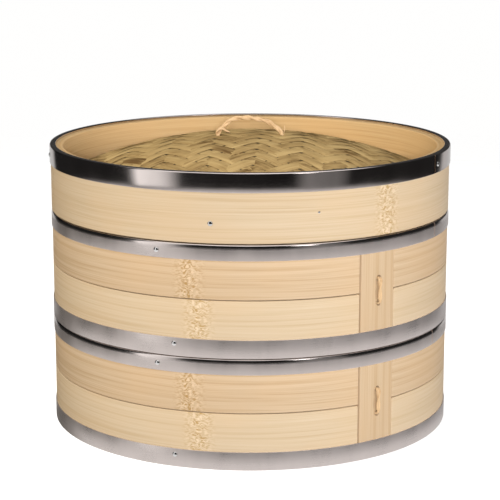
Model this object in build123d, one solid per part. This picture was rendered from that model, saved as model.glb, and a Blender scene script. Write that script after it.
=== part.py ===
from build123d import *

import os
from math import copysign, sqrt

# A round two-tier bamboo steamer with steel edges and a domed, woven lid.
# Millimetres, +Z up. The origin is on the common axis, on the plane that the
# lower tier stands on. -Y is the front and +X the right-hand side.
# Places round the wall are bearings: degrees from the front, positive towards +X.

# ---------------------------------------------------------------- driving sizes
FLANGE_R = 150.0  # widest steel of a tier
SHEET = 0.6  # thickness of every steel strip
SEAT_GAP = 0.1  # air between a tier and what is stacked on it

# radii of the coiled bamboo wall, from the inside outwards
INNER_R = 137.6
MIDDLE_R = 140.4
BACKING_R = 143.2
RECESS_R = 143.8  # the foot of the wall, which fits over the rim below
BAND_R = 146.3
WALL_R = 149.3

# heights in one tier, from its foot
BASE_BAND_TOP = 13.1
HOOP_FOOT = 14.6  # inner and middle hoops stop here, which leaves the recess
RECESS_LEAD_IN = 0.6
BAND_SPLIT = 40.9
SPLIT_GAP = 0.6
COLLAR_FOOT = 68.7
LEDGE = 80.2
STEP_TOP = 83.0
RIM_TOP = 91.0
STEP_R = 142.6
LEDGE_ROUND = 2.4
LAP_W = 1.4  # how far the collar curls over the rim's edge

# joint strip and its rattan stitch
STRIP_FROM = 31.0
STRIP_TO = 42.5
STRIP_GAP = 0.4  # degrees of shadow gap on the strip's left
STITCH_AT = 37.0
STITCH_LOW = 32.3
STITCH_HIGH = 50.3
STITCH_HOLE_R = 2.1
STITCH_IN_R = 141.8
STITCH_OUT_R = 150.75
STITCH_BEND = 2.0
STITCH_T = 2.7
STITCH_W = 3.6  # the two strands lie side by side

# floor
FLOOR_TOP = 31.0
SLAT_T = 2.4
SLAT_W = 13.0
SLAT_PITCH = 15.0
SLATS_EACH_SIDE = 9
SLAT_ANGLE = 30.0  # run of the slats, from +X towards +Y
SLAT_ROUND = 0.8
FLOOR_PLAY = 0.9  # gap between slat ends and wall
FLOOR_RING_W = 6.2
FLOOR_RING_FOOT = 20.0
BAR_W = 12.0
BAR_SPACING = 68.0
BAR_LAP = 4.0  # depth of a bar's end where it lies in the ring's notch
BRAD_CIRCLE_R = 133.2
BRAD_MAX_OFFSET = 130.0  # keeps the outermost slats' brads inside their edge

# lid, heights from its own foot
LID_H = 49.0
LID_R = 150.4
LID_WALL_R = 149.6
LID_SPLIT_R = 146.4  # between the lid's inner and outer hoops
LID_BAND_FOOT = 35.3
LID_HEM = 1.5  # depth of the steel's turned-down inner edge
CLAMP_R = 140.0
CLAMP_FOOT = 11.8
DOME_R = 348.0
DOME_TOP = 54.0
WEAVE_T = 1.3
LEAF_T = 0.4
WEAVE_EDGE_R = 142.8

# rattan handle, heights from the lid's foot
HANDLE_R = 1.9
HANDLE_HALF = 24.2
HANDLE_UNDER = 46.4
HANDLE_FOOT_BEND = 2.3
HANDLE_ARCH = [  # across, height and bend radius, from the right foot over to the left
    (24.2, 55.0, 7.0),
    (13.5, 63.2, 12.0),
    (-1.0, 66.2, 40.0),
    (-14.0, 65.0, 12.0),
    (-24.2, 55.4, 7.0),
]
SLOT_X = 5.2
SLOT_Y = 9.2

# nails and rivets: head radius, head height, shank radius, shank length
WALL_NAIL = (1.9, 0.9, 0.7, 5.0)
HOOP_NAIL = (1.9, 0.9, 0.7, 4.0)
FLOOR_BRAD = (1.1, 0.4, 0.5, 7.0)
LID_NAIL = (1.9, 0.9, 0.7, 8.0)
LID_BRAD = (0.9, 0.4, 0.5, 5.0)
LID_RIVET = (1.7, 0.7, 0.7, 3.0)

COLLAR_NAILS = (-25.4, 94.6, 214.6)
BASE_NAILS = (-20.5, 99.5, 219.5)
HOOP_NAILS = (115.6, 295.6)
LID_NAILS = (-10.4, 109.6, 229.6)
LID_BRADS = (18.3, 198.3)
LID_RIVETS = (63.8, 171.0, 279.0)
COLLAR_NAIL_Z = 73.9
BASE_NAIL_Z = 8.8
HOOP_NAIL_Z = 73.0
LID_NAIL_Z = 14.0
LID_BRAD_Z = 20.8
LID_RIVET_Z = 41.5

# where the ends of each steel strip meet
COLLAR_SEAM = 62.8
BASE_SEAM = 140.0
LID_SEAM = 61.6
SEAM_GAP = 0.3

# ---------------------------------------------------------------- worked out
TIER_PITCH = LEDGE + SEAT_GAP
WALL_TOP = LEDGE - SHEET
SLAT_FOOT = FLOOR_TOP - SLAT_T
FLOOR_R = INNER_R - FLOOR_PLAY
FLOOR_RING_R = INNER_R - FLOOR_RING_W
BAND_ARC = 360 - (STRIP_TO - STRIP_FROM) - STRIP_GAP
LID_INNER_TOP = LID_H - LID_HEM - SEAT_GAP
DOME_CENTRE = DOME_TOP - DOME_R
LEAF_R = DOME_R - WEAVE_T
UNDER_WEAVE_R = LEAF_R - LEAF_T
DOME_UNDER_R = UNDER_WEAVE_R - WEAVE_T
ON_END = (Align.CENTER, Align.CENTER, Align.MIN)
HANGING = (Align.CENTER, Align.CENTER, Align.MAX)


# ---------------------------------------------------------------- helpers
def turned(corners, rounds, start=0.0, arc=360.0):
    """Solid of revolution from corners (radius, height), each with its corner radius."""
    points = [(radius, 0, height) for radius, height in corners]
    if any(rounds):
        outline = FilletPolyline(points, radius=rounds, close=True)
    else:
        outline = Polyline(points, close=True)
    solid = revolve(make_face(outline), Axis.Z, revolution_arc=arc)
    return Rot(0, 0, start - 90) * solid


def hoop(r_in, r_out, low, high, rounds=(0, 0, 0, 0), start=0.0, arc=360.0):
    """Ring of rectangular section; rounds go inner foot, outer foot, outer top, inner top."""
    corners = [(r_in, low), (r_out, low), (r_out, high), (r_in, high)]
    return turned(corners, list(rounds), start, arc)


def at_bearing(bearing, radius, height):
    """Place on the wall, with local +X pointing straight out."""
    return Pos(0, 0, height) * Rot(0, 0, bearing - 90) * Pos(radius, 0, 0)


def nail(head_r, head_h, shank_r, shank_l):
    """Domed head above z = 0 and a shank below it."""
    shank = Cylinder(shank_r, shank_l, align=HANGING)
    head = Cylinder(head_r, head_h, align=ON_END)
    rim = head.edges().filter_by(GeomType.CIRCLE).sort_by(Axis.Z)[-1]
    return shank + fillet(rim, 0.8 * head_h)


def nails_from_outside(sizes, bearings, radius, height):
    """Group of alike nails with their heads outside."""
    return [at_bearing(b, radius, height) * Rot(0, 90, 0) * nail(*sizes) for b in bearings]


def nails_from_inside(sizes, bearings, radius, height):
    """Group of alike nails with their heads inside."""
    return [at_bearing(b, radius, height) * Rot(0, -90, 0) * nail(*sizes) for b in bearings]


def seam(bearing, low, high):
    """Thin upright cutter where the two ends of a steel strip meet."""
    cutter = Box(20, SEAM_GAP, high - low, align=ON_END)
    return at_bearing(bearing, FLANGE_R - 5, low) * cutter


# ---------------------------------------------------------------- tier: wall
def inner_hoop():
    """Tall hoop; its top is the rim that the next tier or the lid fits over."""
    return hoop(INNER_R, MIDDLE_R, HOOP_FOOT, RIM_TOP - SHEET, (0.8, 0, 0, 0.8))


def middle_hoop():
    """Packing hoop; its narrow top edge makes the collar's step."""
    corners = [
        (MIDDLE_R, HOOP_FOOT),
        (BACKING_R, HOOP_FOOT),
        (BACKING_R, WALL_TOP),
        (STEP_R - SHEET, WALL_TOP),
        (STEP_R - SHEET, STEP_TOP - SHEET),
        (MIDDLE_R, STEP_TOP - SHEET),
    ]
    middle = (STITCH_LOW + STITCH_HIGH) / 2
    window_h = STITCH_HIGH - STITCH_LOW + 2 * STITCH_T
    window = at_bearing(STITCH_AT, MIDDLE_R, middle) * Box(12, 2.5 * STITCH_W, window_h)
    return turned(corners, [0] * len(corners)) - window


def stitch_holes():
    """Cutter for the two holes that the rattan passes through."""
    hole = Rot(0, 90, 0) * Cylinder(STITCH_HOLE_R, 14)
    low = at_bearing(STITCH_AT, BAND_R, STITCH_LOW) * hole
    high = at_bearing(STITCH_AT, BAND_R, STITCH_HIGH) * hole
    return [low, high]


def backing_hoop():
    """Full-height hoop behind the outer bands; its foot is eased out to make the recess."""
    corners = [
        (RECESS_R, 0),
        (BAND_R, 0),
        (BAND_R, WALL_TOP),
        (BACKING_R, WALL_TOP),
        (BACKING_R, HOOP_FOOT),
        (RECESS_R, HOOP_FOOT),
    ]
    return turned(corners, [RECESS_LEAD_IN, 0, 0, 0, 0, 0]) - stitch_holes()


def upper_band():
    rounds = (0, 0.5, LEDGE_ROUND - 0.4, 0)
    low = BAND_SPLIT + SPLIT_GAP / 2
    return hoop(BAND_R, WALL_R, low, WALL_TOP, rounds, STRIP_TO, BAND_ARC)


def lower_band():
    high = BAND_SPLIT - SPLIT_GAP / 2
    return hoop(BAND_R, WALL_R, 0, high, (0, 0, 0.5, 0), STRIP_TO, BAND_ARC)


def joint_strip():
    """Upright strip that fills the gap between the ends of the two bands."""
    rounds = (0, 0, LEDGE_ROUND - 0.4, 0)
    arc = STRIP_TO - STRIP_FROM
    strip = hoop(BAND_R, WALL_R, 0, WALL_TOP, rounds, STRIP_FROM, arc)
    return strip - stitch_holes()


def rattan_stitch():
    """Closed loop: one run outside the strip, one behind the backing hoop."""
    route = [
        (STITCH_IN_R, 0, STITCH_LOW),
        (STITCH_OUT_R, 0, STITCH_LOW),
        (STITCH_OUT_R, 0, STITCH_HIGH),
        (STITCH_IN_R, 0, STITCH_HIGH),
    ]
    path = FilletPolyline(route, radius=STITCH_BEND, close=True)
    start = Plane(path @ 0, x_dir=(0, 1, 0), z_dir=path % 0)
    section = start * Ellipse(STITCH_W / 2, STITCH_T / 2)
    return at_bearing(STITCH_AT, 0, 0) * sweep(section, path)


# ---------------------------------------------------------------- tier: steel
def steel_collar():
    """One rolled strip: lip, rim, step, ledge, shoulder and skirt."""
    rim_r = MIDDLE_R + SHEET
    skirt_r = FLANGE_R - SHEET
    outside = [
        (rim_r - LAP_W, RIM_TOP),
        (rim_r, RIM_TOP),
        (rim_r, STEP_TOP),
        (STEP_R, STEP_TOP),
        (STEP_R, LEDGE),
        (FLANGE_R, LEDGE),
        (FLANGE_R, COLLAR_FOOT),
    ]
    inside = [
        (skirt_r, COLLAR_FOOT),
        (skirt_r, WALL_TOP),
        (STEP_R - SHEET, WALL_TOP),
        (STEP_R - SHEET, STEP_TOP - SHEET),
        (MIDDLE_R, STEP_TOP - SHEET),
        (MIDDLE_R, RIM_TOP - SHEET),
        (rim_r - LAP_W, RIM_TOP - SHEET),
    ]
    outside_rounds = [0.2, 0.5, 0.5, 0.6, 0.4, LEDGE_ROUND, 0.2]
    inside_rounds = [0.2, LEDGE_ROUND - SHEET, 0, 0, 0, 0, 0.2]
    strip = turned(outside + inside, outside_rounds + inside_rounds)
    return strip - seam(COLLAR_SEAM, COLLAR_FOOT - 5, RIM_TOP + 5)


def steel_base_band():
    strip = hoop(WALL_R, WALL_R + SHEET, 0, BASE_BAND_TOP, (0, 0.2, 0.2, 0))
    return strip - seam(BASE_SEAM, -5, BASE_BAND_TOP + 5)


def collar_nails():
    return nails_from_outside(WALL_NAIL, COLLAR_NAILS, FLANGE_R, COLLAR_NAIL_Z)


def base_nails():
    return nails_from_outside(WALL_NAIL, BASE_NAILS, WALL_R + SHEET, BASE_NAIL_Z)


def hoop_nails():
    return nails_from_inside(HOOP_NAIL, HOOP_NAILS, INNER_R, HOOP_NAIL_Z)


# ---------------------------------------------------------------- tier: floor
def slat_offsets():
    return [n * SLAT_PITCH for n in range(-SLATS_EACH_SIDE, SLATS_EACH_SIDE + 1)]


def bars(low, high, radius):
    """Three bars across the slats, cut off on a circle."""
    ends = Pos(0, 0, low) * Cylinder(radius, high - low, align=ON_END)
    bar = Box(BAR_W, 2 * INNER_R, high - low, align=ON_END)
    places = [-BAR_SPACING, 0, BAR_SPACING]
    return [Rot(0, 0, SLAT_ANGLE) * (Pos(x, 0, low) * bar & ends) for x in places]


def floor_slats():
    """Slats with rounded upper edges, their ends cut to the wall's circle."""
    ends = Pos(0, 0, SLAT_FOOT) * Cylinder(FLOOR_R, SLAT_T, align=ON_END)
    blank = Box(2 * INNER_R, SLAT_W, SLAT_T, align=ON_END)
    long_edges = blank.edges().filter_by(Axis.X).sort_by(Axis.Z)[-2:]
    blank = fillet(long_edges, SLAT_ROUND)
    return [Rot(0, 0, SLAT_ANGLE) * (Pos(0, y, SLAT_FOOT) * blank & ends) for y in slat_offsets()]


def floor_crossbars():
    """Bars inside the ring, each with a thinner end that lies in a notch of the ring."""
    bodies = bars(FLOOR_RING_FOOT, SLAT_FOOT, FLOOR_RING_R - 0.1)
    tongues = bars(SLAT_FOOT - BAR_LAP, SLAT_FOOT, INNER_R - 0.1)
    return [body + tongue for body, tongue in zip(bodies, tongues)]


def floor_ring():
    ring = hoop(FLOOR_RING_R, INNER_R, FLOOR_RING_FOOT, SLAT_FOOT)
    return ring - bars(SLAT_FOOT - BAR_LAP, SLAT_FOOT + 1, INNER_R + 1)


def floor_nails():
    """Two brads in each slat, one over the ring at each end."""
    brads = []
    for offset in slat_offsets():
        y = copysign(min(abs(offset), BRAD_MAX_OFFSET), offset)
        x = sqrt(BRAD_CIRCLE_R**2 - y**2)
        for place in ((-x, y, FLOOR_TOP), (x, y, FLOOR_TOP)):
            brads.append(Rot(0, 0, SLAT_ANGLE) * Pos(*place) * nail(*FLOOR_BRAD))
    return brads


# ---------------------------------------------------------------- lid
def ball(radius):
    """Full sphere about the dome's centre."""
    return Pos(0, 0, DOME_CENTRE) * Sphere(radius)


def handle_slots():
    """Cutters for the two slots that the handle's legs rock in."""
    slot = Box(SLOT_X, SLOT_Y, 30)
    return [Pos(x, 0, DOME_TOP) * slot for x in (-HANDLE_HALF, HANDLE_HALF)]


def dome_layer(outer_r, inner_r):
    """Shallow cap between two spheres, cut to the wall and slotted for the handle."""
    block = Cylinder(WEAVE_EDGE_R, DOME_TOP + 10, align=ON_END)
    return (block & ball(outer_r)) - ball(inner_r) - handle_slots()


def lid_outer_hoop():
    return hoop(LID_SPLIT_R, LID_WALL_R, 0, LID_H - SHEET - SEAT_GAP, (0, 0.8, 0, 0))


def lid_inner_hoop():
    return hoop(BACKING_R, LID_SPLIT_R, 0, LID_INNER_TOP, (0.6, 0, 0, 0))


def lid_upper_ring():
    """Clamps the woven dome from above."""
    return hoop(CLAMP_R, BACKING_R, CLAMP_FOOT, LID_INNER_TOP, (0, 0, 0, 0.8)) - ball(DOME_R)


def lid_lower_ring():
    """Carries the woven dome from below; its foot stays clear of the rim it covers."""
    return hoop(CLAMP_R, BACKING_R, CLAMP_FOOT, LID_INNER_TOP, (0.8, 0, 0, 0)) & ball(DOME_UNDER_R)


def lid_steel_band():
    """Strip folded over the outer hoop, with a short hem inside."""
    corners = [
        (LID_R, LID_BAND_FOOT),
        (LID_R, LID_H),
        (LID_SPLIT_R - SHEET, LID_H),
        (LID_SPLIT_R - SHEET, LID_H - LID_HEM),
        (LID_SPLIT_R, LID_H - LID_HEM),
        (LID_SPLIT_R, LID_H - SHEET),
        (LID_R - SHEET, LID_H - SHEET),
        (LID_R - SHEET, LID_BAND_FOOT),
    ]
    strip = turned(corners, [0.2, 1.2, 0.5, 0, 0, 0, 0, 0.2])
    return strip - seam(LID_SEAM, LID_BAND_FOOT - 5, LID_H + 5)


def lid_outer_weave():
    return dome_layer(DOME_R, LEAF_R)


def lid_leaf_layer():
    return dome_layer(LEAF_R, UNDER_WEAVE_R)


def lid_inner_weave():
    return dome_layer(UNDER_WEAVE_R, DOME_UNDER_R)


def lid_wall_nails():
    """Nails through the wall into the lower ring, and two finer brads in the wall alone."""
    large = nails_from_outside(LID_NAIL, LID_NAILS, LID_WALL_R, LID_NAIL_Z)
    fine = nails_from_outside(LID_BRAD, LID_BRADS, LID_WALL_R, LID_BRAD_Z)
    return large + fine


def lid_band_rivets():
    return nails_from_outside(LID_RIVET, LID_RIVETS, LID_R, LID_RIVET_Z)


def lid_handle():
    """Closed rattan loop: an arch above the dome and a straight run below it."""
    arch = [(x, 0, z) for x, z, bend in HANDLE_ARCH]
    feet = [(HANDLE_HALF, 0, HANDLE_UNDER), (-HANDLE_HALF, 0, HANDLE_UNDER)]
    route = [(0, 0, HANDLE_UNDER), feet[0], *arch, feet[1]]
    bends = [0, HANDLE_FOOT_BEND, *[bend for x, z, bend in HANDLE_ARCH], HANDLE_FOOT_BEND]
    path = FilletPolyline(route, radius=bends, close=True)
    section = Plane(path @ 0, z_dir=path % 0) * Circle(HANDLE_R)
    return sweep(section, path)


# ---------------------------------------------------------------- assembly
TIER = [
    inner_hoop,
    middle_hoop,
    backing_hoop,
    upper_band,
    lower_band,
    joint_strip,
    rattan_stitch,
    steel_collar,
    steel_base_band,
    collar_nails,
    base_nails,
    hoop_nails,
    floor_ring,
    floor_crossbars,
    floor_slats,
    floor_nails,
]
LID = [
    lid_outer_hoop,
    lid_inner_hoop,
    lid_upper_ring,
    lid_lower_ring,
    lid_steel_band,
    lid_outer_weave,
    lid_leaf_layer,
    lid_inner_weave,
    lid_wall_nails,
    lid_band_rivets,
    lid_handle,
]


def write(name, shape, height):
    """Lift a finished piece or group to its place in the stack and write it."""
    solids = shape if isinstance(shape, list) else [shape]
    group = Compound([solid for piece in solids for solid in piece.solids()])
    export_step(Pos(0, 0, height) * group, f"parts/{name}.step")


os.makedirs("parts", exist_ok=True)
for make in TIER:
    piece = make()
    write("lower_" + make.__name__, piece, 0)
    write("upper_" + make.__name__, piece, TIER_PITCH)
for make in LID:
    write(make.__name__, make(), 2 * TIER_PITCH)
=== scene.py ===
"""Looks of a round two-tier bamboo steamer with steel edges and a woven lid.

Lengths are millimetres until a mesh is made, and bearings are degrees from the front (-Y)
towards +X, as in the part itself.
"""

import math
import random

import bmesh
import bpy
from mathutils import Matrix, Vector, noise


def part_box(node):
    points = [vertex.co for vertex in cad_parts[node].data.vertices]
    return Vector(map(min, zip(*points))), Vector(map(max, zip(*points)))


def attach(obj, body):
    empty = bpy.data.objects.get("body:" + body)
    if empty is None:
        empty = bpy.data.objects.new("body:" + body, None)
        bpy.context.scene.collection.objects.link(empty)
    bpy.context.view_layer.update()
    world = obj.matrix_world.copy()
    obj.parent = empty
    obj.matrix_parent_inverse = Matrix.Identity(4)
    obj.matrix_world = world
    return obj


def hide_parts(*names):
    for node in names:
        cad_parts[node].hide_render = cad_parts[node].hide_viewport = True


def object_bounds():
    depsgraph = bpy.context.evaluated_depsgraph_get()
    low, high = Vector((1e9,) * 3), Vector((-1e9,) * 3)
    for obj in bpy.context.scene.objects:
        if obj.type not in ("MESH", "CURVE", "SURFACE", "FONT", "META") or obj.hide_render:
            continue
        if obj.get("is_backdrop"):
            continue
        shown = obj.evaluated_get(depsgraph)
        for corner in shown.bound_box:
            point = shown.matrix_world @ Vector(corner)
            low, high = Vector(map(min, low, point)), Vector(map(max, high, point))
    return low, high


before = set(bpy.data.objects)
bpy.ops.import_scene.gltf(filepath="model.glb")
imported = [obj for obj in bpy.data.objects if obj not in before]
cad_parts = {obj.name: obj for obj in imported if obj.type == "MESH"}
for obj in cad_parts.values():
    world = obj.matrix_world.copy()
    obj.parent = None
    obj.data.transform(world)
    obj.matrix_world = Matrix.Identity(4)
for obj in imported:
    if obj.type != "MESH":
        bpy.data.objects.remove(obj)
CAD_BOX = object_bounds()
MM = 0.001
SOFT_LIGHT = 0.20
FLOOR_GLOW = 0.45

# ------------------------------------------------------------------ sizes shared with the part
FLANGE_R = 150.0
SHEET = 0.6
INNER_R = 137.6
MIDDLE_R = 140.4
BACKING_R = 143.2
BAND_R = 146.3
WALL_R = 149.3
BASE_BAND_TOP = 13.1
HOOP_FOOT = 14.6
BAND_SPLIT = 40.9
SPLIT_GAP = 0.6
COLLAR_FOOT = 68.7
LEDGE = 80.2
WALL_TOP = LEDGE - SHEET
STEP_TOP = 83.0
RIM_TOP = 91.0
STEP_R = 142.6
STRIP_FROM = 31.0
STRIP_TO = 42.5
STRIP_GAP = 0.4
STITCH_AT = 37.0
STITCH_LOW = 32.3
STITCH_HIGH = 50.3
STITCH_HOLE_R = 2.1
STITCH_IN_R = 141.8
STITCH_OUT_R = 150.75
FLOOR_TOP = 31.0
SLAT_T = 2.4
SLAT_W = 13.0
SLAT_PITCH = 15.0
SLATS_EACH_SIDE = 9
SLAT_ANGLE = 30.0
FLOOR_R = INNER_R - 0.9
LID_H = 49.0
LID_R = 150.4
LID_WALL_R = 149.6
LID_SPLIT_R = 146.4
LID_BAND_FOOT = 35.3
LID_HEM = 1.5
LID_INNER_TOP = 47.4
CLAMP_R = 140.0
DOME_R = 348.0
DOME_TOP = 54.0
DOME_CENTRE = DOME_TOP - DOME_R
WEAVE_T = 1.3
LEAF_T = 0.4
WEAVE_EDGE_R = 142.6
WALL_NAIL = (1.9, 0.9, 0.7, 5.0)
HOOP_NAIL = (1.9, 0.9, 0.7, 4.0)
LID_NAIL = (1.9, 0.9, 0.7, 8.0)
LID_BRAD = (0.9, 0.4, 0.5, 5.0)
LID_RIVET = (1.7, 0.7, 0.7, 3.0)
COLLAR_NAILS = (-25.4, 94.6, 214.6)
BASE_NAILS = (-20.5, 99.5, 219.5)
HOOP_NAILS = (115.6, 295.6)
LID_NAILS = (-10.4, 109.6, 229.6)
LID_BRADS = (18.3, 198.3)
LID_RIVETS = (63.8, 171.0, 279.0)
COLLAR_NAIL_Z = 73.9
BASE_NAIL_Z = 8.8
HOOP_NAIL_Z = 73.0
LID_NAIL_Z = 14.0
LID_BRAD_Z = 20.8
LID_RIVET_Z = 41.5
COLLAR_SEAM = 62.8
BASE_SEAM = 140.0
LID_SEAM = 61.6

# nails of one tier: kind, sizes, bearings, radius, height, and 1 for outwards or -1 for inwards
TIER_NAILS = [
    ("collar_nails", WALL_NAIL, COLLAR_NAILS, FLANGE_R, COLLAR_NAIL_Z, 1),
    ("base_nails", WALL_NAIL, BASE_NAILS, WALL_R + SHEET, BASE_NAIL_Z, 1),
    ("hoop_nails", HOOP_NAIL, HOOP_NAILS, INNER_R, HOOP_NAIL_Z, -1),
]

# ------------------------------------------------------------------ sizes of the looks
WEAVE_ANGLE = 41
WEAVE_PITCH = 11.6
WEAVE_STRIP_W = 10.3
HALF_SLIT = 0.45  # half of the gap where the ends of a steel strip meet
RING_STEPS = 288
TIERS = {"lower_": "lower_tier", "upper_": "upper_tier"}


# ------------------------------------------------------------------ mesh helpers
class Parts:
    """Vertices, faces, grain coordinates and tones of one piece while it is built."""

    def __init__(self):
        self.verts = []
        self.faces = []
        self.grain = []
        self.tones = []

    def loft(self, loops, along, around, wrap=False, tone=0.5):
        """Join closed loops of points one after another; open lofts get flat ends."""
        first = len(self.verts)
        count = len(loops[0])
        for loop in loops:
            self.verts.extend(loop)
            self.tones.extend([tone] * count)
        spans = len(loops) if wrap else len(loops) - 1
        for i in range(spans):
            here = first + i * count
            ahead = first + (i + 1) % len(loops) * count
            for k in range(count):
                n = (k + 1) % count
                self.faces.append((here + k, ahead + k, ahead + n, here + n))
                self.grain += [(along[i], around[k]), (along[i + 1], around[k])]
                self.grain += [(along[i + 1], around[k + 1]), (along[i], around[k + 1])]
        if not wrap:
            for end in (0, len(loops) - 1):
                self.faces.append(tuple(first + end * count + k for k in range(count)))
                self.grain += [(along[end], around[k]) for k in range(count)]


def make_object(name, parts, material, smooth_angle=35):
    """Mesh object in metres with a grain map and one tone per loft."""
    mesh = bpy.data.meshes.new(name)
    mesh.from_pydata([Vector(v) * MM for v in parts.verts], [], parts.faces)
    grain = mesh.uv_layers.new(name="grain")
    flat = [value * MM for pair in parts.grain for value in pair]
    grain.data.foreach_set("uv", flat)
    tone = mesh.attributes.new("tone", "FLOAT", "POINT")
    tone.data.foreach_set("value", parts.tones)
    mesh.materials.append(material)
    bm = bmesh.new()
    bm.from_mesh(mesh)
    bmesh.ops.recalc_face_normals(bm, faces=bm.faces)
    bm.to_mesh(mesh)
    bm.free()
    mesh.polygons.foreach_set("use_smooth", [True] * len(mesh.polygons))
    mesh.set_sharp_from_angle(angle=math.radians(smooth_angle))
    obj = bpy.data.objects.new(name, mesh)
    bpy.context.scene.collection.objects.link(obj)
    return obj


def settle(obj, body, slot, *nodes):
    """A finished piece rides on its body and stands for its CAD nodes."""
    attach(obj, body)
    if nodes:
        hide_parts(*nodes)


def polar(bearing, radius, height):
    a = math.radians(bearing)
    return (radius * math.sin(a), -radius * math.cos(a), height)


def rounded(corners, radii, steps=4):
    """Closed outline with every corner rounded off by an arc of its own radius."""
    outline = []
    for i, radius in enumerate(radii):
        here = Vector(corners[i])
        if radius == 0:
            outline.append(here)
            continue
        back = (Vector(corners[i - 1]) - here).normalized()
        on = (Vector(corners[(i + 1) % len(corners)]) - here).normalized()
        half = back.angle(on) / 2
        centre = here + (back + on).normalized() * radius / math.sin(half)
        start = here + back * radius / math.tan(half) - centre
        end = here + on * radius / math.tan(half) - centre
        turn = math.pi - 2 * half
        for k in range(steps + 1):
            t = k / steps
            mix = start * math.sin((1 - t) * turn) + end * math.sin(t * turn)
            outline.append(centre + mix / math.sin(turn))
    return outline


def running_length(points, closed=False):
    """Distance along a chain of points, starting at 0."""
    total = [0.0]
    chain = list(points) + ([points[0]] if closed else [])
    for a, b in zip(chain, chain[1:]):
        total.append(total[-1] + (Vector(b) - Vector(a)).length)
    return total


def full_circle(start=180.0, steps=RING_STEPS):
    return [start + 360 * i / steps for i in range(steps)]


def open_arc(start, end, spacing=1.25, ends=(0.0, 0.06, 0.15, 0.3, 0.6)):
    """Bearings from start to end, packed closer together near both ends."""
    inner = max(2, int((end - start - 2 * ends[-1]) / spacing))
    first = start + ends[-1]
    last = end - ends[-1]
    middle = [first + (last - first) * i / inner for i in range(1, inner)]
    return [start + e for e in ends] + middle + [end - e for e in reversed(ends)]


def turned(parts, outline, bearings, wrap, shape=None, lift=0.0, tone=0.5):
    """Sweep an outline of (radius, height) round the axis; shape may bend it on the way."""
    loops = []
    for bearing in bearings:
        loop = []
        for radius, height in outline:
            if shape:
                radius, height = shape(bearing, radius, height)
            loop.append(polar(bearing, radius, height + lift))
        loops.append(loop)
    closing = [bearings[0] + 360] if wrap else []
    along = [WALL_R * math.radians(b) for b in list(bearings) + closing]
    parts.loft(loops, along, running_length(outline, closed=True), wrap, tone)


def tube(parts, centres, radius, closed=False, sides=8, tone=0.5, flat=1.0):
    """Round or flattened strand through a chain of centres; radius may be a function of 0..1."""
    count = len(centres)
    points = [Vector(c) for c in centres]
    normal = None
    loops = []
    for i, here in enumerate(points):
        ahead = points[(i + 1) % count] if closed or i + 1 < count else here
        behind = points[i - 1] if closed or i else here
        tangent = (ahead - behind).normalized()
        if normal is None:
            normal = tangent.orthogonal().normalized()
        normal = (normal - tangent * normal.dot(tangent)).normalized()
        side = tangent.cross(normal)
        size = radius(i / (count - 1)) if callable(radius) else radius
        ring = []
        for k in range(sides):
            a = 2 * math.pi * k / sides
            ring.append(here + normal * size * math.cos(a) + side * size * flat * math.sin(a))
        loops.append(ring)
    girth = [2 * math.pi * k / sides * 1.5 for k in range(sides + 1)]
    parts.loft(loops, running_length(points, closed), girth, closed, tone)


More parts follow.
